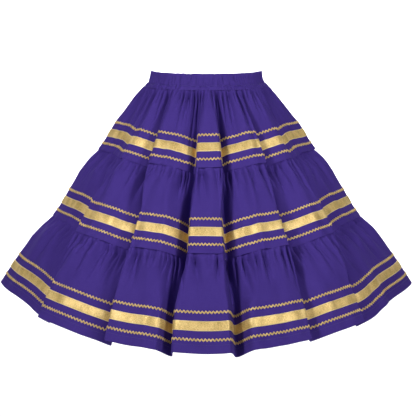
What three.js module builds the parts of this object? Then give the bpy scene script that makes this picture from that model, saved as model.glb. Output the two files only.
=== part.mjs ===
// A three-tier gathered dance skirt, worn shape with nobody in it.
// Millimetres, +Z up. The origin is the middle of the waist opening, in its top plane.
// The front faces -Y and azimuths are degrees from the front towards +X.
import * as THREE from "three";

// Cloth
const CLOTH_THICKNESS = 1.4;
const BAND_THICKNESS = 2.6;
const SEAM_GAP = 0.3;

// Trims that lie on each tier: a flat ribbon between two rows of rickrack
const TRIM_CLEARANCE = 0.8;
const RIBBON_WIDTH = 19;
const RIBBON_THICKNESS = 0.8;
const RICKRACK_WIDTH = 6.5;
const RICKRACK_THICKNESS = 1.2;
const TRIM_SPACING = 26.5;

// The ridges of the folds lie on these sections, measured down the cloth from the waist.
// slant: distance down the cloth. half_x, half_y: reach to the side and to the front.
// side_z, front_z: how low the section hangs there.
// round, side_round: 2 is an ellipse, less draws the section towards its four ends.
const SECTIONS = [
  { slant: 0, half_x: 118, half_y: 94, side_z: 0, front_z: 0, round: 2, side_round: 2 },
  { slant: 18, half_x: 121, half_y: 100, side_z: -17, front_z: -17, round: 2, side_round: 2 },
  { slant: 38, half_x: 133, half_y: 112, side_z: -33, front_z: -33, round: 1.9, side_round: 1.8 },
  { slant: 62, half_x: 149.5, half_y: 126, side_z: -50.5, front_z: -52.5, round: 1.8, side_round: 1.5 },
  { slant: 126, half_x: 188, half_y: 162, side_z: -101, front_z: -108, round: 1.62, side_round: 1.22 },
  { slant: 209, half_x: 233.5, half_y: 208, side_z: -169, front_z: -177.5, round: 1.62, side_round: 1.22 },
  { slant: 233, half_x: 251, half_y: 221.5, side_z: -185.5, front_z: -197, round: 1.62, side_round: 1.27 },
  { slant: 306, half_x: 289, half_y: 258, side_z: -246, front_z: -260, round: 1.62, side_round: 1.27 },
  { slant: 389, half_x: 334, half_y: 302, side_z: -314, front_z: -330, round: 1.64, side_round: 1.3 },
  { slant: 418, half_x: 355.5, half_y: 317, side_z: -332.5, front_z: -354.5, round: 1.66, side_round: 1.33 },
  { slant: 493, half_x: 400, half_y: 347, side_z: -391, front_z: -421.5, round: 1.7, side_round: 1.36 },
  { slant: 584, half_x: 450.5, half_y: 384, side_z: -465, front_z: -503.5, round: 1.7, side_round: 1.36 },
];
// The side rounding takes over between these shares of the way round to the side.
const SIDE_FROM = 0.85;
const SIDE_FULL = 0.985;
// The waist sits lower at the middle of the back than at the front, and the hem is level again.
const BACK_DROP = 17;
const BACK_DROP_CURVE = 1.3;
const FRONT_LEAN = 28;
const SIDE_LEAN = 35;

// Each tier is straight and carries its trims from trims_from down to its lower edge.
const TIERS = [
  { name: "tier_1", top: 38, trims_from: 126, ribbon: 164.5, bottom: 209, gathers: 48, height: 3.2 },
  { name: "tier_2", top: 209, trims_from: 306, ribbon: 344.5, bottom: 389, gathers: 64, height: 3.4 },
  { name: "tier_3", top: 389, trims_from: 493, ribbon: 531.5, bottom: 584, gathers: 88, height: 3.6 },
];

// The gathers stand highest just below each seam and fade further down.
const GATHER_ROWS = [
  { below_seam: 9, share: 1.0 },
  { below_seam: 26, share: 0.85 },
  { below_seam: 56, share: 0.4 },
];

// The waistband is an elastic casing, gently waved all round, with a row of stitching that
// sinks into it above its lower edge.
const BAND_WAVE = 0.8;
const BAND_ROWS = [
  { slant: 0, sunk: 0.6 },
  { slant: 3, sunk: 0 },
  { slant: 25, sunk: 0 },
  { slant: 28, sunk: 0.8 },
  { slant: 38, sunk: 0 },
];

// Deep hanging folds. On tiers 1, 2 and 3, at is the azimuth of the trough, left and right are the
// widths of its two flanks in degrees and depth is how far it sinks.
const FOLDS = [
  { at: [-112, -112, -112], left: [9, 9, 9], right: [8.5, 8.5, 8.5], depth: [12, 22, 26] },
  { at: [-97, -97, -97], left: [6, 6, 6], right: [6, 6, 6], depth: [5, 9, 11] },
  { at: [-60, -64, -60.5], left: [13, 14, 15], right: [4, 3.2, 4.5], depth: [4, 14, 28] },
  { at: [-38.5, -33.5, -34], left: [16, 18, 18], right: [4, 4.5, 4.5], depth: [22, 32, 32] },
  { at: [-8, -9, -12.5], left: [18, 9.5, 4.5], right: [4.2, 3.8, 2.6], depth: [24, 34, 28] },
  { at: [11, 9, 10], left: [4, 4.6, 4.6], right: [18, 14, 4.8], depth: [23, 33, 31] },
  { at: [39.5, 36.5, 34.5], left: [4, 4.5, 3.2], right: [14.5, 18, 9], depth: [16, 28, 17] },
  { at: [60, 62, 56], left: [4, 3.2, 4.5], right: [13, 15, 15], depth: [4, 16, 26] },
  { at: [97, 97, 97], left: [6, 6, 6], right: [6, 6, 6], depth: [5, 9, 11] },
  { at: [113, 113, 113], left: [9, 9, 9], right: [4, 4, 3.6], depth: [12, 22, 28] },
  { at: [136, 135, 136], left: [4, 3.8, 3.6], right: [13, 13, 13], depth: [16, 24, 27] },
  { at: [160, 161, 162], left: [9, 9, 9], right: [4, 3.8, 3.6], depth: [12, 24, 30] },
  { at: [184, 185, 184], left: [4, 3.8, 3.6], right: [13, 13, 13], depth: [18, 22, 28] },
  { at: [211, 210, 209], left: [10, 10, 10], right: [4, 3.8, 3.6], depth: [14, 26, 31] },
  { at: [231, 231, 231], left: [9, 9, 9], right: [7, 7, 7], depth: [12, 18, 16] },
];

const PURPLE_CLOTH = new THREE.MeshStandardMaterial({ color: 0x46368a, roughness: 0.85, metalness: 0 });
const GOLD_RIBBON = new THREE.MeshStandardMaterial({ color: 0xd9b566, roughness: 0.45, metalness: 0.6 });
const GOLD_RICKRACK = new THREE.MeshStandardMaterial({ color: 0xe0bf72, roughness: 0.5, metalness: 0.5 });

const { degToRad, lerp, smoothstep } = THREE.MathUtils;
const FULL_TURN = 360;
const START_AZIMUTH = -123;
const MITER_LIMIT = 2;
// Reach up and down the cloth over which its slope is taken, so that walls meet square at a seam.
const SEAM_BLEND = 5;

// Straight-line reading of a table between its rows.
function readTable(table, key, value, column) {
  const after = table.findIndex((row) => row[key] >= value);
  if (after === 0) return table[0][column];
  if (after < 0) return table[table.length - 1][column];
  const low = table[after - 1];
  const high = table[after];
  return lerp(low[column], high[column], (value - low[key]) / (high[key] - low[key]));
}

// The back's drop is whole down to the waist seam and gone at the hem.
function backDrop(slant) {
  const hem = TIERS[TIERS.length - 1].bottom;
  return BACK_DROP * Math.min(1, (hem - slant) / (hem - TIERS[0].top));
}

// A point on the section through the fold ridges.
function ridgePoint(slant, azimuth) {
  const section = (column) => readTable(SECTIONS, "slant", slant, column);
  const halfWidth = section("half_x");
  const halfDepth = section("half_y");
  const across = Math.sin(degToRad(azimuth));
  const forward = Math.cos(degToRad(azimuth));
  const sideShare = smoothstep(Math.abs(across), SIDE_FROM, SIDE_FULL);
  const power = lerp(section("round"), section("side_round"), sideShare);
  const total = Math.abs(across / halfWidth) ** power + Math.abs(forward / halfDepth) ** power;
  const reach = total ** (-1 / power);
  const frontShare = 1 - Math.abs((reach * across) / halfWidth) ** power;
  const height = lerp(section("side_z"), section("front_z"), frontShare);
  const backShare = Math.max(0, (-reach * forward) / halfDepth) ** BACK_DROP_CURVE;
  return new THREE.Vector3(reach * across, -reach * forward, height - backShare * backDrop(slant));
}

// The direction in which folds and gathers stand out of the cloth.
function outward(azimuth) {
  const across = Math.sin(degToRad(azimuth));
  const forward = Math.cos(degToRad(azimuth));
  const lean = degToRad(lerp(FRONT_LEAN, SIDE_LEAN, Math.abs(across)));
  return new THREE.Vector3(across * Math.cos(lean), -forward * Math.cos(lean), Math.sin(lean));
}

// A fold's place, flanks and depth at one slant. Folds start at the waist seam. Where a tier
// carries its trims they keep their place and deepen as the skirt widens.
function foldAt(fold, slant) {
  const waist = { at: fold.at[0], left: fold.left[0], right: fold.right[0] };
  const stations = [{ ...waist, slant: TIERS[0].top, depth: 0 }];
  TIERS.forEach((tier, index) => {
    const width = (place) => readTable(SECTIONS, "slant", place, "half_x");
    const station = { at: fold.at[index], left: fold.left[index], right: fold.right[index] };
    const depth = fold.depth[index];
    const deepened = (depth * width(tier.bottom)) / width(tier.trims_from);
    stations.push({ ...station, slant: tier.trims_from, depth });
    stations.push({ ...station, slant: tier.bottom, depth: deepened });
  });
  const read = (column) => readTable(stations, "slant", slant, column);
  return { at: read("at"), left: read("left"), right: read("right"), depth: read("depth") };
}

function turnsApart(azimuth, other) {
  return azimuth - other - FULL_TURN * Math.round((azimuth - other) / FULL_TURN);
}

function foldDepth(slant, azimuth) {
  let depth = 0;
  for (const fold of FOLDS) {
    const { at, left, right, depth: deepest } = foldAt(fold, slant);
    const off = turnsApart(azimuth, at);
    const share = off < 0 ? -off / left : off / right;
    if (share < 1) depth += deepest * 0.5 * (1 + Math.cos(Math.PI * share));
  }
  return depth;
}

function clothPoint(slant, azimuth, raised) {
  const point = ridgePoint(slant, azimuth);
  return point.addScaledVector(outward(azimuth), raised - foldDepth(slant, azimuth));
}

// Two columns for each gather, one on its crest and one in its hollow, unevenly spaced.
function gatherColumns(count) {
  const step = FULL_TURN / (2 * count);
  return Array.from({ length: 2 * count }, (_, index) => ({
    azimuth: START_AZIMUTH + step * (index + 0.25 * Math.sin(index * 2.3)),
    wave: (index % 2 ? -1 : 1) * (0.75 + 0.25 * Math.sin(index * 1.7)),
  }));
}

// Five columns for each fold: its two edges, its trough and the middle of each flank.
function foldColumns(slant) {
  const azimuths = FOLDS.flatMap((fold) => {
    const { at, left, right } = foldAt(fold, slant);
    return [at - left, at - left / 2, at, at + right / 2, at + right];
  });
  return azimuths
    .map((azimuth) => START_AZIMUTH + THREE.MathUtils.euclideanModulo(azimuth - START_AZIMUTH, FULL_TURN))
    .sort((a, b) => a - b);
}

function clothColumn(slant, azimuth, raised) {
  const above = clothPoint(slant - SEAM_BLEND, azimuth, 0);
  const down = clothPoint(slant + SEAM_BLEND, azimuth, 0).sub(above);
  return { azimuth, down, outer: clothPoint(slant, azimuth, raised) };
}

function gatheredRow(slant, columns, height, sunk = 0) {
  return withMiters(columns.map(({ azimuth, wave }) => clothColumn(slant, azimuth, height * wave - sunk)));
}

function plainRow(slant) {
  return withMiters(foldColumns(slant).map((azimuth) => clothColumn(slant, azimuth, 0)));
}

// Each column's offset that moves both faces beside it by one millimetre.
function withMiters(row) {
  return row.map((column, place) => {
    const before = row[(place + row.length - 1) % row.length];
    const after = row[(place + 1) % row.length];
    const normalBefore = column.down.clone().cross(column.outer.clone().sub(before.outer)).normalize();
    const normalAfter = column.down.clone().cross(after.outer.clone().sub(column.outer)).normalize();
    const share = Math.min(MITER_LIMIT, 2 / (1 + normalBefore.dot(normalAfter)));
    return { ...column, miter: normalBefore.add(normalAfter).multiplyScalar(share / 2) };
  });
}

// Triangles between two rings of any counts, given as first vertex numbers and azimuths.
function bridgeRings(upper, lower, flipped, triangles) {
  let i = 0;
  let j = 0;
  const azimuthOf = (ring, place) => {
    const lap = Math.floor(place / ring.azimuths.length);
    return ring.azimuths[place % ring.azimuths.length] + FULL_TURN * lap;
  };
  const vertex = (ring, place) => ring.first + (place % ring.azimuths.length);
  while (i < upper.azimuths.length || j < lower.azimuths.length) {
    const upperNext = i < upper.azimuths.length ? azimuthOf(upper, i + 1) : Infinity;
    const lowerNext = j < lower.azimuths.length ? azimuthOf(lower, j + 1) : Infinity;
    const corner = [vertex(upper, i), vertex(lower, j)];
    if (lowerNext <= upperNext) {
      j += 1;
      corner.push(vertex(lower, j));
    } else {
      i += 1;
      corner.push(vertex(upper, i));
    }
    triangles.push(...(flipped ? corner.reverse() : corner));
  }
}

function meshFrom(name, points, triangles, material) {
  const geometry = new THREE.BufferGeometry();
  geometry.setAttribute("position", new THREE.Float32BufferAttribute(points.flatMap((p) => p.toArray()), 3));
  geometry.setIndex(triangles);
  geometry.computeVertexNormals();
  const mesh = new THREE.Mesh(geometry, material);
  mesh.name = name;
  return mesh;
}

// A closed wall through the rows, with its inner face one thickness inside.
function wall(name, rows, thickness, material) {
  const points = [];
  const triangles = [];
  const addRing = (row, depth) => {
    const ring = { first: points.length, azimuths: row.map((column) => column.azimuth) };
    row.forEach((column) => points.push(column.outer.clone().addScaledVector(column.miter, -depth)));
    return ring;
  };
  const outer = rows.map((row) => addRing(row, 0));
  const inner = rows.map((row) => addRing(row, thickness));
  for (let index = 0; index + 1 < rows.length; index += 1) {
    bridgeRings(outer[index], outer[index + 1], false, triangles);
    bridgeRings(inner[index], inner[index + 1], true, triangles);
  }
  bridgeRings(inner[0], outer[0], false, triangles);
  bridgeRings(outer[rows.length - 1], inner[rows.length - 1], false, triangles);
  return meshFrom(name, points, triangles, material);
}

// A closed strip round the tier: section corners are slant and height above the cloth.
function trim(name, tierRows, tier, corners, material) {
  const upperRow = tierRows[tierRows.length - 2];
  const lowerRow = tierRows[tierRows.length - 1];
  const count = upperRow.length;
  const points = [];
  const triangles = [];
  upperRow.forEach((column, place) => {
    const below = lowerRow[place];
    corners.forEach(({ slant, height }) => {
      const down = (slant - tier.trims_from) / (tier.bottom - SEAM_GAP / 2 - tier.trims_from);
      const miter = column.miter.clone().lerp(below.miter, down);
      points.push(column.outer.clone().lerp(below.outer, down).addScaledVector(miter, height));
    });
  });
  const sides = corners.length;
  for (let place = 0; place < count; place += 1) {
    const here = place * sides;
    const there = ((place + 1) % count) * sides;
    for (let side = 0; side < sides; side += 1) {
      const next = (side + 1) % sides;
      triangles.push(here + side, here + next, there + next);
      triangles.push(here + side, there + next, there + side);
    }
  }
  return meshFrom(name, points, triangles, material);
}

function ribbonCorners(slant) {
  const face = TRIM_CLEARANCE + RIBBON_THICKNESS;
  return [
    { slant: slant - RIBBON_WIDTH / 2, height: face },
    { slant: slant + RIBBON_WIDTH / 2, height: face },
    { slant: slant + RIBBON_WIDTH / 2, height: TRIM_CLEARANCE },
    { slant: slant - RIBBON_WIDTH / 2, height: TRIM_CLEARANCE },
  ];
}

function rickrackCorners(slant) {
  return [
    { slant, height: TRIM_CLEARANCE + RICKRACK_THICKNESS },
    { slant: slant + RICKRACK_WIDTH / 2, height: TRIM_CLEARANCE },
    { slant: slant - RICKRACK_WIDTH / 2, height: TRIM_CLEARANCE },
  ];
}

function bandRow({ slant, sunk }) {
  const tier = TIERS[0];
  const edge = Math.min(slant, tier.top - SEAM_GAP / 2);
  return gatheredRow(edge, gatherColumns(tier.gathers), BAND_WAVE, sunk);
}

function waistband() {
  return wall("waistband", BAND_ROWS.map(bandRow), BAND_THICKNESS, PURPLE_CLOTH);
}

// A tier's top edge has the columns of the edge above it, so that the two run level.
function tierPieces(tier, index) {
  const columns = gatherColumns(tier.gathers);
  const top = tier.top + SEAM_GAP / 2;
  const rows = [
    index === 0 ? gatheredRow(top, columns, BAND_WAVE) : plainRow(top),
    ...GATHER_ROWS.map(({ below_seam, share }) =>
      gatheredRow(tier.top + below_seam, columns, tier.height * share)),
    plainRow(tier.trims_from),
    plainRow(tier.bottom - SEAM_GAP / 2),
  ];
  const number = index + 1;
  const upper = tier.ribbon - TRIM_SPACING;
  const lower = tier.ribbon + TRIM_SPACING;
  return [
    wall(tier.name, rows, CLOTH_THICKNESS, PURPLE_CLOTH),
    trim(`rickrack_${number}_upper`, rows, tier, rickrackCorners(upper), GOLD_RICKRACK),
    trim(`ribbon_${number}`, rows, tier, ribbonCorners(tier.ribbon), GOLD_RIBBON),
    trim(`rickrack_${number}_lower`, rows, tier, rickrackCorners(lower), GOLD_RICKRACK),
  ];
}

const skirt = new THREE.Group();
skirt.add(waistband());
skirt.add(...TIERS.flatMap(tierPieces));

export default skirt;
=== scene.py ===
# %% [markdown]
# # A three-tier square dance skirt
# The skirt is three straight strips of purple broadcloth. Each strip is gathered onto the one above
# it, and the top one onto an elastic waistband. Gold ribbon between two rows of gold rickrack runs
# round the foot of every tier.
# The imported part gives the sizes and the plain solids. Here each solid is replaced by cloth that
# has its gathers, hanging folds, hems, braids and stitches.

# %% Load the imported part
import math
import bpy
import numpy as np
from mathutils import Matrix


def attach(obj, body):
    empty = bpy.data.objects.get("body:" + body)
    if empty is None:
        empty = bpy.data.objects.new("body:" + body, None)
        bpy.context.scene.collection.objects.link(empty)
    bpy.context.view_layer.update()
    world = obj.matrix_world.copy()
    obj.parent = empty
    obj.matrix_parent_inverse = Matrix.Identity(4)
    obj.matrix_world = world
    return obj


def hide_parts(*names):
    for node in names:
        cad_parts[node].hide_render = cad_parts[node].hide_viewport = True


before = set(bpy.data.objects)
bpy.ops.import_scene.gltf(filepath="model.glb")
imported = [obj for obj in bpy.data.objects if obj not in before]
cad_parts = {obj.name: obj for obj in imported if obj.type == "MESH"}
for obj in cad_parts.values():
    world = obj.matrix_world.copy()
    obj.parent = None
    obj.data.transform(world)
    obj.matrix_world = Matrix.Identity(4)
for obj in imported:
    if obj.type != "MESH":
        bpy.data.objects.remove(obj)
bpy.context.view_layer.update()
print("nodes:", sorted(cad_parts))

# %% [markdown]
# ## Sizes
# A skirt is easiest to describe along the cloth. "Slant" is the distance down the cloth from the
# waist, and "azimuth" is the direction in degrees from the front towards the right. Both are in the
# part's own tables, so the cloth falls where the solids are. Lengths are millimetres until a mesh
# is made.

# %% The sections of the skirt and its tiers
SECTIONS = np.array([
    # slant, half width, half depth, side height, front height, roundness, roundness at the sides
    (0, 118, 94, 0, 0, 2.0, 2.0),
    (18, 121, 100, -17, -17, 2.0, 2.0),
    (38, 133, 112, -33, -33, 1.9, 1.8),
    (62, 149.5, 126, -50.5, -52.5, 1.8, 1.5),
    (126, 188, 162, -101, -108, 1.62, 1.22),
    (209, 233.5, 208, -169, -177.5, 1.62, 1.22),
    (233, 251, 221.5, -185.5, -197, 1.62, 1.27),
    (306, 289, 258, -246, -260, 1.62, 1.27),
    (389, 334, 302, -314, -330, 1.64, 1.3),
    (418, 355.5, 317, -332.5, -354.5, 1.66, 1.33),
    (493, 400, 347, -391, -421.5, 1.7, 1.36),
    (584, 450.5, 384, -465, -503.5, 1.7, 1.36),
])
SIDE_FROM, SIDE_FULL = 0.85, 0.985
BACK_DROP, BACK_DROP_CURVE = 17, 1.3
TIERS = [
    dict(name="tier_1", top=38, trims_from=126, ribbon=164.5, bottom=209, cut=(1.60, 0.171)),
    dict(name="tier_2", top=209, trims_from=306, ribbon=344.5, bottom=389, cut=(2.42, 0.180)),
    dict(name="tier_3", top=389, trims_from=493, ribbon=531.5, bottom=584, cut=(3.05, 0.215)),
]
TRIM_SPACING = 26.5
FRONT_LEAN, SIDE_LEAN = math.radians(28), math.radians(35)
FULL_TURN = 360.0
MILLIMETRE = 0.001


# %% A smooth reading of a table
def read_smoothly(places, values, at):
    """A smooth curve through the rows: cubic pieces whose slopes come from the neighbours."""
    slopes = np.gradient(values, places)
    row = np.clip(np.searchsorted(places, at) - 1, 0, len(places) - 2)
    span = places[row + 1] - places[row]
    t = np.clip((at - places[row]) / span, 0, 1)
    return (
        (1 + 2 * t) * (1 - t) ** 2 * values[row]
        + t * (1 - t) ** 2 * span * slopes[row]
        + t * t * (3 - 2 * t) * values[row + 1]
        + t * t * (t - 1) * span * slopes[row + 1]
    )


def ridge(slant, azimuth):
    """Points on the section through the fold ridges, as an array of x, y, z."""
    half_width, half_depth, side_height, front_height, roundness, side_roundness = (
        read_smoothly(SECTIONS[:, 0], SECTIONS[:, column], slant) for column in range(1, 7)
    )
    across, forward = np.sin(np.radians(azimuth)), np.cos(np.radians(azimuth))
    side = np.clip((np.abs(across) - SIDE_FROM) / (SIDE_FULL - SIDE_FROM), 0, 1)
    power = roundness + (side_roundness - roundness) * side * side * (3 - 2 * side)
    reach = (np.abs(across / half_width) ** power + np.abs(forward / half_depth) ** power) ** (-1 / power)
    front_share = 1 - np.abs(reach * across / half_width) ** power
    waist_seam, hem = TIERS[0]["top"], TIERS[-1]["bottom"]
    back = np.clip(-reach * forward / half_depth, 0, 1) ** BACK_DROP_CURVE
    drop = BACK_DROP * back * np.clip((hem - slant) / (hem - waist_seam), 0, 1)
    height = side_height + (front_height - side_height) * front_share - drop
    return np.stack([reach * across, -reach * forward, height], axis=-1)


def outward(azimuth):
    """The direction in which folds and gathers stand out of the cloth."""
    across, forward = np.sin(np.radians(azimuth)), np.cos(np.radians(azimuth))
    lean = FRONT_LEAN + (SIDE_LEAN - FRONT_LEAN) * np.abs(across)
    return np.stack([across * np.cos(lean), -forward * np.cos(lean), np.sin(lean)], axis=-1)


def sideways(azimuth):
    """The level direction along the cloth, towards larger azimuths."""
    return np.stack([np.cos(np.radians(azimuth)), np.sin(np.radians(azimuth)), 0 * azimuth], axis=-1)


# %% [markdown]
# ## Hanging folds
# A gathered skirt falls in a few deep folds that run from waist to hem. Each has a trough, a gentle
# flank and a steep one, and the cloth rolls a little over the steep flank. The middle of a trough is
# pinched in more sharply, in a groove that widens down the tiers. A table gives each fold's place,
# flank widths and depth on the three tiers, because this is how one would note them down when
# looking at a real skirt. The folds round the back are of the same kind.

# %% The hanging folds
FOLDS = [
    # place, left flank, right flank (degrees) and depth, each on tiers 1, 2 and 3
    ((-112, -112, -112), (9, 9, 9), (8.5, 8.5, 8.5), (12, 22, 26)),
    ((-97, -97, -97), (6, 6, 6), (6, 6, 6), (5, 9, 11)),
    ((-60, -64, -60.5), (13, 14, 15), (4, 3.2, 4.5), (4, 14, 28)),
    ((-38.5, -33.5, -34), (16, 18, 18), (4, 4.5, 4.5), (22, 32, 32)),
    ((-8, -9, -11.6), (18, 9.5, 4.5), (4.2, 3.8, 2.6), (24, 34, 28)),
    ((11, 9, 10), (4, 4.6, 4.6), (18, 14, 4.8), (23, 33, 31)),
    ((39.5, 36.5, 34.5), (4, 4.5, 3.2), (14.5, 18, 9), (16, 28, 17)),
    ((60, 62, 56), (4, 3.2, 4.5), (13, 15, 15), (4, 16, 26)),
    ((97, 97, 97), (6, 6, 6), (6, 6, 6), (5, 9, 11)),
    ((113, 113, 113), (9, 9, 9), (4, 4, 3.6), (12, 22, 28)),
    ((136, 135, 136), (4, 3.8, 3.6), (13, 13, 13), (16, 24, 27)),
    ((160, 161, 162), (9, 9, 9), (4, 3.8, 3.6), (12, 24, 30)),
    ((184, 185, 184), (4, 3.8, 3.6), (13, 13, 13), (18, 22, 28)),
    ((211, 210, 209), (10, 10, 10), (4, 3.8, 3.6), (14, 26, 31)),
    ((231, 231, 231), (9, 9, 9), (7, 7, 7), (12, 18, 16)),
]
# A flank of up to 4.5 degrees is steep, and one of 6 degrees or more is gentle.
STEEP_FLANK, GENTLE_FLANK = 4.5, 6.0
GENTLE_SHARPNESS = 0.9
# Over a steep flank the cloth moves aside by a share of the fold's depth, and rises a little.
ROLL_SHARE = 0.3
ROLL_REACH = 3
ROLL_RISE = 1.5
ROLL_FULL_DEPTH = 15
# The groove in a trough: a share of the fold's depth, and its half width on each tier.
PINCH_SHARE = 0.55
PINCH_HALF_WIDTHS = (9, 10, 14)
# A fold's depth at the trims and at the lower edge, as shares of the depth in the table.
FOLD_GROWTH = (0.95, 1.07)


def along_tiers(slant, values, at_waist, growth=(1, 1)):
    """A fold's value from the waist seam down; growth is its change from trims to lower edge."""
    stations, readings = [TIERS[0]["top"]], [at_waist]
    for tier, value in zip(TIERS, values):
        stations += [tier["trims_from"], tier["bottom"]]
        readings += [value * growth[0], value * growth[1]]
    return np.interp(slant, stations, readings)


def turns_apart(azimuth, other):
    """How far one azimuth lies from another, the short way round."""
    return (azimuth - other + FULL_TURN / 2) % FULL_TURN - FULL_TURN / 2


def mean_reach(slant):
    """The skirt's mean radius at a slant, which turns angles into lengths of cloth."""
    return np.interp(slant, SECTIONS[:, 0], (SECTIONS[:, 1] + SECTIONS[:, 2]) / 2)


def hanging_folds(slant, azimuth):
    """How deep the folds sink the cloth, and how far it rolls sideways over their steep flanks."""
    depth = np.zeros(np.broadcast(slant, azimuth).shape)
    roll = np.zeros_like(depth)
    rise = np.zeros_like(depth)
    for places, lefts, rights, depths in FOLDS:
        off = turns_apart(azimuth, along_tiers(slant, places, places[0]))
        deep = along_tiers(slant, depths, 0, FOLD_GROWTH)
        left, right = along_tiers(slant, lefts, lefts[0]), along_tiers(slant, rights, rights[0])
        flank = np.where(off < 0, left, right)
        steep = np.clip((GENTLE_FLANK - flank) / (GENTLE_FLANK - STEEP_FLANK), 0, 1)
        share = np.abs(off) / flank
        sharpness = GENTLE_SHARPNESS + (1 - GENTLE_SHARPNESS) * steep
        trough = np.where(share < 1, 0.5 * (1 + np.cos(np.pi * np.minimum(share, 1))), 0)
        depth += deep * trough**sharpness
        half_width = along_tiers(slant, PINCH_HALF_WIDTHS, PINCH_HALF_WIDTHS[0])
        aside = np.radians(off) * mean_reach(slant) / half_width
        depth += deep * PINCH_SHARE * np.exp(-(aside**2)) * np.clip(2 - share, 0, 1)
        rolled = steep * np.sin(np.pi * np.clip(share / ROLL_REACH, 0, 1)) ** 2
        roll -= np.sign(off) * deep * ROLL_SHARE * rolled
        rise += ROLL_RISE * rolled * np.minimum(deep / ROLL_FULL_DEPTH, 1)
    return depth - rise, roll


# %% [markdown]
# ## Gathers
# Where a long strip is sewn onto a shorter edge, its spare width stands up in small sharp creases.
# They crowd the seam, no two alike, and fade further down the cloth. Modelling each crease by hand
# would take days, so each tier draws its own creases from a seeded table of random places, lengths
# and depths. The seed keeps them the same on every run.

# %% The creases below each seam
GATHERS = {
    # creases round the seam, shortest, longest, least and greatest depth, width
    "tier_1": dict(count=96, length=(42, 150), depth=(4.0, 21.0), width=(1.6, 3.5)),
    "tier_2": dict(count=140, length=(34, 112), depth=(4.5, 25.0), width=(1.8, 4.0)),
    "tier_3": dict(count=196, length=(32, 116), depth=(4.5, 27.0), width=(1.9, 4.3)),
}
CREASE_SEED = 40
# Few creases are long: the draw is raised to this power.
LONG_CREASE_POWER = 1.6
# A crease has this share of its depth at the seam, and all of it after the run-in.
CREASE_START = 0.24
CREASE_RUN_IN = 13
CREASE_WIDENING = 90
CREASE_FADING, CREASE_PROFILE = 1.1, 1.2
# Beyond this many degrees from its place a crease is too shallow to matter.
CREASE_WINDOW = 9
SOFT_WAVES = dict(
    counts=(19, 23, 29, 34, 41, 47, 53, 61, 70),
    below_seam=(0, 35, 85, 200),
    height=(0.5, 2.3, 1.1, 1.5),
)


def draw_creases(number, count, length, depth, width):
    """One tier's creases: their places, lengths, depths, widths and sideways drifts, in that order."""
    random = np.random.default_rng(CREASE_SEED + number)
    steps = 0.45 + random.random(count)
    places = np.cumsum(steps) / steps.sum() * FULL_TURN
    long_ones = random.random(count) ** LONG_CREASE_POWER
    deep_ones = 0.35 * random.random(count) + 0.65 * np.sqrt(long_ones)
    return dict(
        place=places,
        length=length[0] + (length[1] - length[0]) * long_ones,
        depth=depth[0] + (depth[1] - depth[0]) * deep_ones,
        width=width[0] + (width[1] - width[0]) * long_ones,
        drift=(random.random(count) - 0.5) * 0.022,
    )


def gather_relief(creases, below_seam, azimuth, reach):
    """How deep the creases are at each point; reach is the mean radius there, in millimetres."""
    relief = np.zeros(np.broadcast(below_seam, azimuth).shape)
    started = CREASE_START + (1 - CREASE_START) * np.clip(below_seam / CREASE_RUN_IN, 0, 1)
    for place, length, depth, width, drift in zip(*creases.values()):
        near = np.abs(turns_apart(azimuth[0], place)) < CREASE_WINDOW
        off = turns_apart(azimuth[:, near], place + drift * below_seam)
        aside = np.radians(off) * reach
        spread = width * (1 + np.maximum(below_seam, 0) / CREASE_WIDENING)
        fading = np.clip(1 - below_seam / length, 0, 1) ** CREASE_FADING
        relief[:, near] += depth * started * fading * np.exp(-np.abs(aside / spread) ** CREASE_PROFILE)
    return relief


def soft_waves(seed, slant, azimuth):
    """Slow uneven swells, the same all round: whole counts of waves with drawn phases."""
    random = np.random.default_rng(seed)
    total = np.zeros(np.broadcast(slant, azimuth).shape)
    for count in SOFT_WAVES["counts"]:
        phase = random.random() * 2 * np.pi
        tilt = (random.random() - 0.5) * 0.02
        share = 0.5 + random.random()
        total += share * np.sin(np.radians(azimuth) * count + phase + tilt * slant)
    return total / math.sqrt(len(SOFT_WAVES["counts"]))


# %% [markdown]
# ## The tiers
# Each tier is one sheet. A grid of points is laid over it, close together under the seam and over
# the steep flanks, where the cloth bends most, and wider elsewhere. The upper two tiers are drawn in
# a little at the lower edge, where the next tier is sewn on. The lowest edge is turned under, as a
# hem is, so the edge that one sees is a real fold of cloth.

# %% Rows and columns of a tier's grid
# The rows are fine over the first stretch below the seam, and then wider apart.
FINE_STRETCH, FINE_STEP, WIDE_STEP = 64, 2.4, 4.2
COLUMN_COUNTS = (1200, 1360, 1520)
FLANK_DENSITY = 2.0
# A tier starts a little above its seam, inside the one above, and stands out just below it.
SEAM_OVERLAP = 4
BELOW_SEAM, STANDS_OUT = (-4, 0, 3, 10), (-1.8, 0.5, 1.8, 2.6)
ABOVE_EDGE, DRAWN_IN = (0, 2, 7), (1.3, 0.5, 0)
SWELL_SEED = 70
HEM_TURNED_UNDER = 18
HEM_ROWS, HEM_ROW_STEP = 4, 3.0
CLOTH_LAYER = 1.0


def grid_columns(count, tier_index):
    """Azimuths round the skirt, closer together over the folds' steep flanks."""
    fine = np.linspace(-180, 180, 7200, endpoint=False)
    density = np.ones_like(fine)
    for places, lefts, rights, _ in FOLDS:
        off = turns_apart(fine, places[tier_index])
        steep = min(lefts[tier_index], rights[tier_index])
        if steep < STEEP_FLANK:
            density += FLANK_DENSITY * np.exp(-((off / (steep + 1.5)) ** 2))
    along = np.cumsum(density)
    marks = np.linspace(0, along[-1], count, endpoint=False)
    return np.interp(marks, np.concatenate([[0], along[:-1]]), fine)


def grid_rows(top, bottom):
    """Distances down the cloth, from the top row to the lower edge."""
    wide_from = top + FINE_STRETCH
    close = np.arange(top, wide_from, FINE_STEP)
    wide = np.linspace(wide_from, bottom, max(2, round((bottom - wide_from) / WIDE_STEP)))
    return np.concatenate([close, wide])


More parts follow.
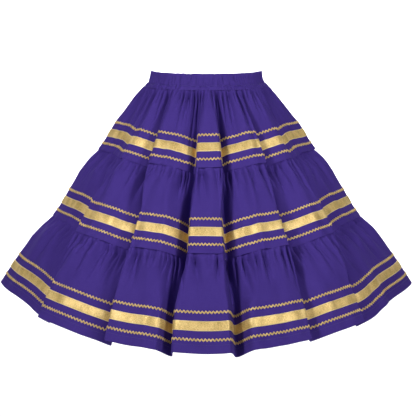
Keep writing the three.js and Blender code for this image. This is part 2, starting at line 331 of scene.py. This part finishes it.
def normals_of(points):
    """Outward normals of a grid that closes on itself round the skirt."""
    round_it = np.roll(points, -1, axis=1) - np.roll(points, 1, axis=1)
    down_it = np.gradient(points, axis=0)
    normal = np.cross(down_it, round_it)
    return normal / np.linalg.norm(normal, axis=-1, keepdims=True)


# %% The cloth of one tier
def tier_grid(index):
    """The rows, columns, points and normals of one tier's sheet."""
    tier = TIERS[index]
    rows = grid_rows(tier["top"] - SEAM_OVERLAP, tier["bottom"])
    columns = grid_columns(COLUMN_COUNTS[index], index)
    slant, azimuth = rows[:, None], np.broadcast_to(columns[None, :], (len(rows), len(columns)))
    below_seam = slant - tier["top"]
    creases = draw_creases(index + 1, **GATHERS[tier["name"]])
    relief = gather_relief(creases, below_seam, azimuth, mean_reach(slant))
    swell = soft_waves(SWELL_SEED + index, slant, azimuth)
    swell = swell * np.interp(below_seam, SOFT_WAVES["below_seam"], SOFT_WAVES["height"])
    depth, roll = hanging_folds(slant, azimuth)
    stands_out = np.interp(below_seam, BELOW_SEAM, STANDS_OUT)
    has_hem = tier is TIERS[-1]
    drawn_in = 0 if has_hem else np.interp(tier["bottom"] - slant, ABOVE_EDGE, DRAWN_IN)
    raised = stands_out + swell - relief - depth - drawn_in
    points = ridge(slant, azimuth) + outward(azimuth) * raised[..., None]
    points = points + sideways(azimuth) * roll[..., None]
    return dict(tier=tier, rows=rows, columns=columns, points=points, normals=normals_of(points))


grids = [tier_grid(index) for index in range(3)]
for grid in grids:
    print(grid["tier"]["name"], "grid:", grid["points"].shape[:2])


# %% From a grid of points to a mesh
def ring_faces(row_count, column_count):
    row, column = np.meshgrid(np.arange(row_count - 1), np.arange(column_count), indexing="ij")
    here = row * column_count + column
    there = row * column_count + (column + 1) % column_count
    return np.stack([here, here + column_count, there + column_count, there], axis=-1).reshape(-1, 4)


def cloth_mesh(name, points, along, down):
    """A piece from a ring-shaped grid in millimetres, with the cut cloth's own lengths as its UVs."""
    row_count, column_count = points.shape[:2]
    mesh = bpy.data.meshes.new(name)
    faces = ring_faces(row_count, column_count)
    mesh.from_pydata((points.reshape(-1, 3) * MILLIMETRE).tolist(), [], faces.tolist())
    piece = bpy.data.objects.new(name, mesh)
    bpy.context.collection.objects.link(piece)
    corner_row, corner_column = np.divmod(faces, column_count)
    wrapped = corner_column < np.arange(column_count)[None, :].repeat(row_count - 1, 0).reshape(-1, 1)
    u = np.append(along, 2 * along[-1] - along[-2])[np.where(wrapped, column_count, corner_column)]
    v = down[corner_row]
    uv = mesh.uv_layers.new(name="UVMap")
    uv.data.foreach_set("uv", np.stack([u, v], axis=-1).astype(np.float32).ravel())
    mesh.polygons.foreach_set("use_smooth", np.ones(len(mesh.polygons), dtype=bool))
    mesh.update()
    return piece


def turned_edge(points, normals, depth, layers):
    """Rows that carry on from the lower edge, round a small fold and up inside the cloth."""
    edge, upward = points[-1], points[-2] - points[-1]
    upward = upward / np.linalg.norm(upward, axis=-1, keepdims=True)
    rows = [edge - normals[-1] * CLOTH_LAYER * 0.5 - upward * CLOTH_LAYER * 0.4]
    for share in np.linspace(0.06, 1, layers):
        rows.append(edge - normals[-1] * CLOTH_LAYER * 1.5 + upward * depth * share)
    return np.stack(rows)


# %% Cut the three tiers
tier_pieces = []
for grid in grids:
    tier, sheet, rows = grid["tier"], grid["points"], grid["rows"]
    if tier is TIERS[-1]:
        hem = turned_edge(sheet, grid["normals"], HEM_TURNED_UNDER, HEM_ROWS)
        sheet = np.concatenate([sheet, hem])
        rows = np.concatenate([rows, rows[-1] + np.arange(1, len(hem) + 1) * HEM_ROW_STEP])
    cut_width = tier["cut"][0]
    along = (grid["columns"] + FULL_TURN / 2) / FULL_TURN * cut_width
    piece = cloth_mesh(f"{tier['name']}_cloth", sheet, along, rows * MILLIMETRE)
    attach(piece, "root")
    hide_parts(tier["name"])
    tier_pieces.append(piece)
    print(piece.name, "triangles:", 2 * len(piece.data.polygons))


# %% [markdown]
# ## The waistband
# The casing is a tube of cloth round a wide elastic. At rest the elastic draws the cloth into
# many fine upright wrinkles, and one row of stitching dents it above the seam. It is a ring-shaped
# grid again, up the outer face, over the top edge and down the inner face.

# %% Wrinkles of the casing
BAND_DEPTH, BAND_THICKNESS = 38, 2.4
BAND_RADIUS = 110
BAND_ROWS, BAND_COLUMNS = 26, 1100
BAND_WRINKLES = dict(count=150, depth=(1.2, 3.6), width=(1.2, 2.8))
WRINKLE_SEED, BAND_WAVE_SEED = 11, 5
# The elastic fills the casing from just below the top edge to the stitching.
ELASTIC_TOP = 2
STITCH_ROW = 26
# The length that the casing's UV map gives to one turn, in metres.
BAND_UV_LENGTH = 1.0


def band_relief(slant, azimuth):
    """How deep the wrinkles of the casing are at each point."""
    random = np.random.default_rng(WRINKLE_SEED)
    count = BAND_WRINKLES["count"]
    steps = 0.5 + random.random(count)
    places = np.cumsum(steps) / steps.sum() * FULL_TURN
    depths = np.interp(random.random(count), (0, 1), BAND_WRINKLES["depth"])
    widths = np.interp(random.random(count), (0, 1), BAND_WRINKLES["width"])
    starts = random.random(count) * 26 - 6
    lengths = 14 + random.random(count) * 30
    relief = np.zeros(np.broadcast(slant, azimuth).shape)
    for place, depth, width, start, length in zip(places, depths, widths, starts, lengths):
        off = np.radians(turns_apart(azimuth, place + 0.03 * (slant - start))) * BAND_RADIUS
        share = np.clip((slant - start) / length, 0, 1)
        relief += depth * np.sin(np.pi * share) ** 0.7 * np.exp(-np.abs(off / width) ** 1.3)
    return relief


def puffed(slant, start, end):
    """A swell between two rows of the band, 0 at both and 1 halfway."""
    return np.sin(np.pi * np.clip((slant - start) / (end - start), 0, 1))


band_columns = np.linspace(-180, 180, BAND_COLUMNS, endpoint=False)
band_outer_rows = np.linspace(0.8, BAND_DEPTH, BAND_ROWS)
slant = band_outer_rows[:, None]
azimuth = np.broadcast_to(band_columns[None, :], (BAND_ROWS, BAND_COLUMNS))
stitch_dent = 1.5 * np.exp(-(((slant - STITCH_ROW) / 1.3) ** 2))
top_dent = 0.5 * np.exp(-(((slant - 2.2) / 0.8) ** 2))
puff = 0.6 * puffed(slant, ELASTIC_TOP, STITCH_ROW) + 0.5 * puffed(slant, STITCH_ROW, BAND_DEPTH)
wave = 0.5 * soft_waves(BAND_WAVE_SEED, slant, azimuth)
raised = puff + wave - band_relief(slant, azimuth) - (stitch_dent + top_dent)
band_points = ridge(slant, azimuth) + outward(azimuth) * raised[..., None]
band_normals = normals_of(band_points)
top = band_points[0] - band_normals[0] * BAND_THICKNESS / 2 + np.array([0, 0, 0.8])
inner = band_points - band_normals * BAND_THICKNESS
band_sheet = np.concatenate([inner[::-2], top[None], band_points])
band_down = np.concatenate([-band_outer_rows[::-2], [0], band_outer_rows]) * MILLIMETRE
band_along = (band_columns + FULL_TURN / 2) / FULL_TURN * BAND_UV_LENGTH
waistband = cloth_mesh("waistband_cloth", band_sheet, band_along, band_down)
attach(waistband, "root")
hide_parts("waistband")
print(waistband.name, "triangles:", 2 * len(waistband.data.polygons))

# %% [markdown]
# ## Ribbon and rickrack
# The trims are sewn flat on the cloth, so they have to follow each of its folds. Their points are
# found on the tier's own grid, at a place along the cloth and a distance down it, and lifted by
# their thickness.


# %% A point on a tier's cloth
def on_cloth(grid, slant, azimuth, lift):
    """Points on a grid's surface, raised from it by lift along its normals."""
    row = np.interp(slant, grid["rows"], np.arange(len(grid["rows"])))
    columns = grid["columns"]
    wrapped = (azimuth + FULL_TURN / 2) % FULL_TURN - FULL_TURN / 2
    whole = np.append(columns, columns[0] + FULL_TURN)
    column = np.interp(wrapped, whole, np.arange(len(whole)))
    column = np.where(wrapped < columns[0], 0, column)
    low_row = np.clip(np.floor(row).astype(int), 0, len(grid["rows"]) - 2)
    low_column = np.floor(column).astype(int) % len(columns)
    next_column = (low_column + 1) % len(columns)
    down, along = (row - low_row)[..., None], (column - np.floor(column))[..., None]

    def read(values):
        upper = values[low_row, low_column] * (1 - along) + values[low_row, next_column] * along
        lower = values[low_row + 1, low_column] * (1 - along) + values[low_row + 1, next_column] * along
        return upper * (1 - down) + lower * down

    return read(grid["points"]) + read(grid["normals"]) * np.asarray(lift)[..., None]


def ring_lengths(grid, slant):
    """Lengths of cloth round the ring at this slant, from the back, and the azimuths they end at."""
    azimuths = np.linspace(-180, 180, 6000)
    ring = on_cloth(grid, np.full_like(azimuths, slant), azimuths, np.zeros_like(azimuths))
    steps = np.linalg.norm(np.diff(ring, axis=0), axis=-1)
    return np.append(0, np.cumsum(steps)), azimuths


# %% The three ribbons
RIBBON_COLUMNS = 1300
RIBBON_SECTION = [
    # distance down from the ribbon's middle, lift off the cloth
    (-9.5, 0.25), (-9.3, 0.95), (-8.2, 1.05), (-4.5, 1.2), (0, 1.25),
    (4.5, 1.2), (8.2, 1.05), (9.3, 0.95), (9.5, 0.25),
]
ribbons = []
for number, grid in enumerate(grids, 1):
    middle = grid["tier"]["ribbon"]
    lengths, azimuths = ring_lengths(grid, middle)
    along = np.linspace(0, lengths[-1], RIBBON_COLUMNS, endpoint=False)
    azimuth = np.interp(along, lengths, azimuths)
    rows = [
        on_cloth(grid, np.full_like(azimuth, middle + down), azimuth, np.full_like(azimuth, lift))
        for down, lift in RIBBON_SECTION
    ]
    across = np.array([down for down, _ in RIBBON_SECTION]) * MILLIMETRE
    ribbon = cloth_mesh(f"ribbon_{number}_woven", np.stack(rows), along * MILLIMETRE, across)
    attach(ribbon, "root")
    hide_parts(f"ribbon_{number}")
    ribbons.append(ribbon)
    print(ribbon.name, "length:", round(lengths[-1]), "mm")

# %% [markdown]
# Rickrack is a flat braid woven in a zigzag. Its path is a wave along the cloth, and a low arched
# section is swept along that path, so each point of the zigzag still lies on the folds.

# %% The six rows of rickrack
RICKRACK_PITCH = 7.0
RICKRACK_SWING = 1.9
STATIONS_PER_WAVE = 8
# The strand runs this much further than its row, and its UV map is this many metres wide.
STRAND_TAKE_UP = 1.5
STRAND_UV_WIDTH = 0.006
STRAND_SECTION = [
    # distance aside from the strand's middle, lift off the cloth
    (-1.35, 0.35), (-1.05, 1.0), (0, 1.35), (1.05, 1.0), (1.35, 0.35), (0, 0.3),
]


def strand_path(waves, length):
    """Middle line of the zigzag in the flat: distance along, distance down, and its direction."""
    turn = np.linspace(0, waves, waves * STATIONS_PER_WAVE, endpoint=False) * 2 * np.pi
    along = turn / (2 * np.pi) * length / waves
    swing = RICKRACK_SWING * (1.08 * np.sin(turn) - 0.09 * np.sin(3 * turn))
    step = np.gradient(swing, along)
    return along, swing, np.stack([np.ones_like(step), step], -1) / np.sqrt(1 + step**2)[:, None]


rickracks = {}
for number, grid in enumerate(grids, 1):
    for place, side in (("upper", -1), ("lower", 1)):
        middle = grid["tier"]["ribbon"] + side * TRIM_SPACING
        lengths, azimuths = ring_lengths(grid, middle)
        length = lengths[-1]
        waves = round(length / RICKRACK_PITCH)
        along, swing, direction = strand_path(waves, length)
        rings = []
        for aside, lift in STRAND_SECTION:
            flat_along = (along - direction[:, 1] * aside) % length
            flat_down = middle + swing + direction[:, 0] * aside
            azimuth = np.interp(flat_along, lengths, azimuths)
            rings.append(on_cloth(grid, flat_down, azimuth, np.full_like(azimuth, lift)))
        rings.append(rings[0])
        across = np.linspace(0, STRAND_UV_WIDTH, len(rings))
        along_strand = along * MILLIMETRE * STRAND_TAKE_UP
        braid = cloth_mesh(f"rickrack_{number}_{place}_braid", np.stack(rings), along_strand, across)
        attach(braid, "root")
        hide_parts(f"rickrack_{number}_{place}")
        rickracks[number, place] = braid
    print("tier", number, "rickrack waves:", waves, "round", round(length), "mm")

# %% [markdown]
# ## Stitches
# One row of straight stitches closes the casing and another holds the hem. A single stitch is
# modelled as a short rounded thread, and copies of it are laid end to end along the seam.


# %% A row of stitches
HEM_STITCH_ROW = 568
THREAD_SIDES = 6
STITCH_STATIONS = [
    # place along the stitch, lift and girth, as shares of its length and of the thread's thickness
    (-0.5, 0.0, 0.2), (-0.32, 0.6, 0.9), (0.32, 0.6, 0.9), (0.5, 0.0, 0.2),
]


def stitch_row(name, centres, directions, normals, length, thickness):
    """Every stitch is a flattened six-sided thread that dips into the cloth at both ends."""
    around = np.linspace(0, 2 * np.pi, THREAD_SIDES, endpoint=False)
    binormals = np.cross(directions, normals)
    vertices, faces = [], []
    for centre, direction, normal, aside in zip(centres, directions, normals, binormals):
        first = len(vertices)
        for share, lift, girth in STITCH_STATIONS:
            for angle in around:
                vertices.append(
                    centre
                    + direction * length * share
                    + normal * thickness * (lift + 0.35 * girth * np.sin(angle))
                    + aside * thickness * 0.5 * girth * np.cos(angle)
                )
        last = first + (len(STITCH_STATIONS) - 1) * THREAD_SIDES
        for ring in range(first, last, THREAD_SIDES):
            for side in range(THREAD_SIDES):
                a, b = ring + side, ring + (side + 1) % THREAD_SIDES
                faces.append((a, b, b + THREAD_SIDES, a + THREAD_SIDES))
        faces.append(tuple(first + side for side in reversed(range(THREAD_SIDES))))
        faces.append(tuple(last + side for side in range(THREAD_SIDES)))
    mesh = bpy.data.meshes.new(name)
    mesh.from_pydata((np.array(vertices) * MILLIMETRE).tolist(), [], faces)
    mesh.polygons.foreach_set("use_smooth", np.ones(len(mesh.polygons), dtype=bool))
    piece = bpy.data.objects.new(name, mesh)
    bpy.context.collection.objects.link(piece)
    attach(piece, "root")
    print(name, "stitches:", len(centres))
    return piece


def seam_line(grid, slant, pitch, lift=0.1):
    """Middles, directions and normals of the stitches round the ring at this slant."""
    lengths, azimuths = ring_lengths(grid, slant)
    count = round(lengths[-1] / pitch)
    ends = np.interp(np.linspace(0, lengths[-1], count + 1), lengths, azimuths)
    line = on_cloth(grid, np.full_like(ends, slant), ends, np.full_like(ends, lift))
    above = on_cloth(grid, np.full_like(ends, slant - 1), ends, np.full_like(ends, lift))
    directions = np.diff(line, axis=0)
    directions /= np.linalg.norm(directions, axis=-1, keepdims=True)
    normals = np.cross(line[:-1] - above[:-1], directions)
    normals /= np.linalg.norm(normals, axis=-1, keepdims=True)
    return (line[:-1] + line[1:]) / 2, directions, normals


band_grid = dict(rows=band_outer_rows, columns=band_columns, points=band_points, normals=band_normals)
casing_line = seam_line(band_grid, STITCH_ROW, pitch=2.8)
casing_stitches = stitch_row("casing_stitches", *casing_line, length=2.2, thickness=0.5)
hem_line = seam_line(grids[2], HEM_STITCH_ROW, pitch=3.2)
hem_stitches = stitch_row("hem_stitches", *hem_line, length=2.5, thickness=0.5)


# %% [markdown]
# ## Finishes
# Broadcloth is a plain weave: fine threads cross one over one, and slubs make some of them thicker.
# The ribbon's weft is flat metallic yarn, which glints in short streaks. The streaks are shinier,
# and their glints are also painted into its colour as lighter gold. All the patterns read the
# pieces' own UV maps, which hold lengths on the cut cloth in metres, so the threads run with the
# cloth round every fold.


# %% Helpers for node materials
def new_material(name):
    material = bpy.data.materials.new(name)
    material.use_nodes = True
    nodes, links = material.node_tree.nodes, material.node_tree.links
    return material, nodes, links, nodes["Principled BSDF"]


def stretched_noise(nodes, links, uv, stretch):
    """Noise drawn out along the cloth's length or width; stretch is its grain per metre each way."""
    mapping = nodes.new("ShaderNodeMapping")
    mapping.inputs["Scale"].default_value = (*stretch, 1)
    noise = nodes.new("ShaderNodeTexNoise")
    noise.inputs["Scale"].default_value = 1
    noise.inputs["Detail"].default_value = 3
    links.new(uv.outputs["UV"], mapping.inputs["Vector"])
    links.new(mapping.outputs["Vector"], noise.inputs["Vector"])
    return noise.outputs["Fac"]


def combine(nodes, links, operation, first, second):
    """The output of a math node; each operand is a number or another node's output."""
    node = nodes.new("ShaderNodeMath")
    node.operation = operation
    for socket, value in zip(node.inputs, (first, second)):
        if isinstance(value, (int, float)):
            socket.default_value = value
        else:
            links.new(value, socket)
    return node.outputs["Value"]


def weigh(nodes, links, first, share, second):
    """Two patterns in one: the first with its share, the second with the rest."""
    return combine(nodes, links, "ADD", combine(nodes, links, "MULTIPLY", first, share),
                   combine(nodes, links, "MULTIPLY", second, 1 - share))


def colour_ramp(nodes, links, factor, stops):
    ramp = nodes.new("ShaderNodeValToRGB")
    while len(ramp.color_ramp.elements) < len(stops):
        ramp.color_ramp.elements.new(0.5)
    for element, (position, colour) in zip(ramp.color_ramp.elements, stops):
        element.position = position
        element.color = (*colour, 1)
    links.new(factor, ramp.inputs["Fac"])
    return ramp.outputs["Color"]


def add_bump(nodes, links, shader, height, strength, distance):
    bump = nodes.new("ShaderNodeBump")
    bump.inputs["Strength"].default_value = strength
    bump.inputs["Distance"].default_value = distance
    links.new(height, bump.inputs["Height"])
    links.new(bump.outputs["Normal"], shader.inputs["Normal"])


# %% Purple broadcloth
def broadcloth(name, light, dark):
    material, nodes, links, shader = new_material(name)
    uv = nodes.new("ShaderNodeUVMap")
    uv.uv_map = "UVMap"
    warp = stretched_noise(nodes, links, uv, (2400, 60))
    weft = stretched_noise(nodes, links, uv, (60, 2400))
    threads = combine(nodes, links, "MULTIPLY", combine(nodes, links, "ADD", warp, weft), 0.5)
    mottle = stretched_noise(nodes, links, uv, (18, 12))
    tone = weigh(nodes, links, threads, 0.7, mottle)
    links.new(colour_ramp(nodes, links, tone, ((0.30, dark), (0.70, light))), shader.inputs["Base Color"])
    add_bump(nodes, links, shader, threads, 0.35, 0.0003)
    shader.inputs["Roughness"].default_value = 0.82
    shader.inputs["Specular IOR Level"].default_value = 0.04
    shader.inputs["Sheen Weight"].default_value = 0.05
    shader.inputs["Sheen Roughness"].default_value = 0.4
    shader.inputs["Sheen Tint"].default_value = (0.42, 0.36, 0.95, 1)
    return material


purple_cloth = broadcloth("purple_broadcloth", (0.066, 0.038, 0.244), (0.046, 0.025, 0.186))
for piece in (*tier_pieces, waistband):
    piece.data.materials.append(purple_cloth)

# %% Purple sewing thread
thread, nodes, links, shader = new_material("purple_thread")
coordinates = nodes.new("ShaderNodeTexCoord")
twist = nodes.new("ShaderNodeTexNoise")
twist.inputs["Scale"].default_value = 2500
links.new(coordinates.outputs["Object"], twist.inputs["Vector"])
thread_stops = ((0.3, (0.03, 0.02, 0.14)), (0.7, (0.06, 0.04, 0.22)))
thread_colour = colour_ramp(nodes, links, twist.outputs["Fac"], thread_stops)
links.new(thread_colour, shader.inputs["Base Color"])
shader.inputs["Roughness"].default_value = 0.6
for piece in (casing_stitches, hem_stitches):
    piece.data.materials.append(thread)


# %% Gold ribbon and gold rickrack
def gold_yarn(name, stretch, rib_stretch, dark, middle, light, roughness, metallic, selvedge=0):
    """Metallic yarn; beyond the selvedge's distance from the middle, in metres, it is plain light."""
    material, nodes, links, shader = new_material(name)
    uv = nodes.new("ShaderNodeUVMap")
    uv.uv_map = "UVMap"
    # The glint streaks lower the roughness, and through the colour ramp they also make the colour lighter
    # gold: painted glints on top of the yarn's own random tone.
    painted_glint_and_gloss = stretched_noise(nodes, links, uv, stretch)
    ribs = stretched_noise(nodes, links, uv, rib_stretch)
    patches = stretched_noise(nodes, links, uv, (45, 30))
    tone = weigh(nodes, links, painted_glint_and_gloss, 0.55, patches)
    colour = colour_ramp(nodes, links, tone, ((0.33, dark), (0.5, middle), (0.66, light)))
    if selvedge:
        split = nodes.new("ShaderNodeSeparateXYZ")
        links.new(uv.outputs["UV"], split.inputs["Vector"])
        from_middle = combine(nodes, links, "ABSOLUTE", split.outputs["Y"], 0)
        edge = nodes.new("ShaderNodeMix")
        edge.data_type = "RGBA"
        links.new(combine(nodes, links, "GREATER_THAN", from_middle, selvedge), edge.inputs["Factor"])
        links.new(colour, edge.inputs["A"])
        edge.inputs["B"].default_value = (*light, 1)
        colour = edge.outputs["Result"]
    links.new(colour, shader.inputs["Base Color"])
    rough = nodes.new("ShaderNodeMapRange")
    rough.inputs["From Min"].default_value = 0.3
    rough.inputs["From Max"].default_value = 0.7
    rough.inputs["To Min"].default_value = roughness + 0.12
    rough.inputs["To Max"].default_value = roughness - 0.1
    links.new(painted_glint_and_gloss, rough.inputs["Value"])
    links.new(rough.outputs["Result"], shader.inputs["Roughness"])
    shader.inputs["Metallic"].default_value = metallic
    add_bump(nodes, links, shader, ribs, 0.4, 0.0004)
    return material


gold_ribbon = gold_yarn(
    "gold_ribbon_weave", stretch=(320, 900), rib_stretch=(1500, 250),
    dark=(0.34, 0.22, 0.055), middle=(0.70, 0.49, 0.165), light=(0.91, 0.70, 0.32),
    roughness=0.5, metallic=0.3, selvedge=0.0082,
)
gold_braid = gold_yarn(
    "gold_rickrack_braid", stretch=(700, 700), rib_stretch=(1400, 700),
    dark=(0.38, 0.24, 0.07), middle=(0.66, 0.45, 0.16), light=(0.87, 0.65, 0.29),
    roughness=0.55, metallic=0.15,
)
for piece in ribbons:
    piece.data.materials.append(gold_ribbon)
for piece in rickracks.values():
    piece.data.materials.append(gold_braid)

# %% [markdown]
# ## What each sheet was cut from
# Every tier is a straight strip.

# %% [markdown]
# ## Studio
# A pale sweep stands well below the skirt. A narrow beam from each side of the front makes the folds
# and gathers throw shadows, and a light straight in front keeps the shadows open. A large one over
# the backdrop keeps it white, as in a plain catalogue picture.

# %% Floor sweep
bpy.ops.object.select_all(action="DESELECT")
bpy.ops.mesh.primitive_plane_add(size=16, location=(0, 0, -1.05))
sweep = bpy.context.object
sweep.name = "studio_sweep"
bpy.ops.object.transform_apply(location=True, rotation=True, scale=True)
bpy.ops.object.mode_set(mode="EDIT")
bpy.ops.mesh.select_mode(type="EDGE")
bpy.ops.mesh.select_all(action="DESELECT")
bpy.ops.object.mode_set(mode="OBJECT")
for edge in sweep.data.edges:
    edge.select = all(sweep.data.vertices[v].co.y > 7 for v in edge.vertices)
bpy.ops.object.mode_set(mode="EDIT")
bpy.ops.mesh.extrude_region_move(TRANSFORM_OT_translate={"value": (0, 0, 8)})
bpy.ops.object.mode_set(mode="OBJECT")
corner = sweep.modifiers.new("soft corner", "BEVEL")
corner.width = 4
corner.segments = 16
corner.limit_method = "ANGLE"
bpy.ops.object.modifier_apply(modifier=corner.name)
bpy.ops.object.shade_smooth()
pale, nodes, links, shader = new_material("pale_paper")
shader.inputs["Base Color"].default_value = (0.93, 0.93, 0.93, 1)
shader.inputs["Roughness"].default_value = 0.9
sweep.data.materials.append(pale)


# %% Lights
def soft_light(name, place, aim, size, power, spread=180):
    data = bpy.data.lights.new(name, "AREA")
    data.shape = "DISK"
    data.size = size
    data.energy = power
    data.spread = math.radians(spread)
    light = bpy.data.objects.new(name, data)
    light.location = place
    direction = np.array(aim) - np.array(place)
    light.rotation_euler = (
        math.atan2(math.hypot(direction[0], direction[1]), -direction[2]), 0,
        math.atan2(direction[0], -direction[1]) + math.pi,
    )
    bpy.context.collection.objects.link(light)
    return light


soft_light("left_light", (-2.1, -2.5, 1.4), (0, 0, -0.27), 0.7, 3.7, spread=38)
soft_light("right_light", (2.1, -2.5, 1.4), (0, 0, -0.27), 0.7, 3.2, spread=38)
soft_light("front_light", (0.0, -3.2, 0.5), (0, 0, -0.25), 0.8, 9)
soft_light("backdrop_light", (0, 5, 3.4), (0, 5, -1), 4, 640)
world = bpy.data.worlds.new("studio")
world.use_nodes = True
world.node_tree.nodes["Background"].inputs["Color"].default_value = (0.72, 0.78, 1, 1)
world.node_tree.nodes["Background"].inputs["Strength"].default_value = 0.08
bpy.context.scene.world = world
bpy.context.scene.view_settings.view_transform = "Standard"

# %% [markdown]
# ## Camera
# The camera stands a little above the waist, 2.4 m away, and looks down by about eleven degrees, so
# that the whole skirt fills the frame.

# %% Camera
camera_data = bpy.data.cameras.new("camera")
camera_data.lens = 97.18
camera_data.sensor_width = 36
camera_data.shift_x = 0.0036
camera = bpy.data.objects.new("camera", camera_data)
camera.location = (0, -2.4, 0.16)
camera.rotation_euler = (math.radians(79.205), 0, 0)
bpy.context.collection.objects.link(camera)
bpy.context.scene.camera = camera
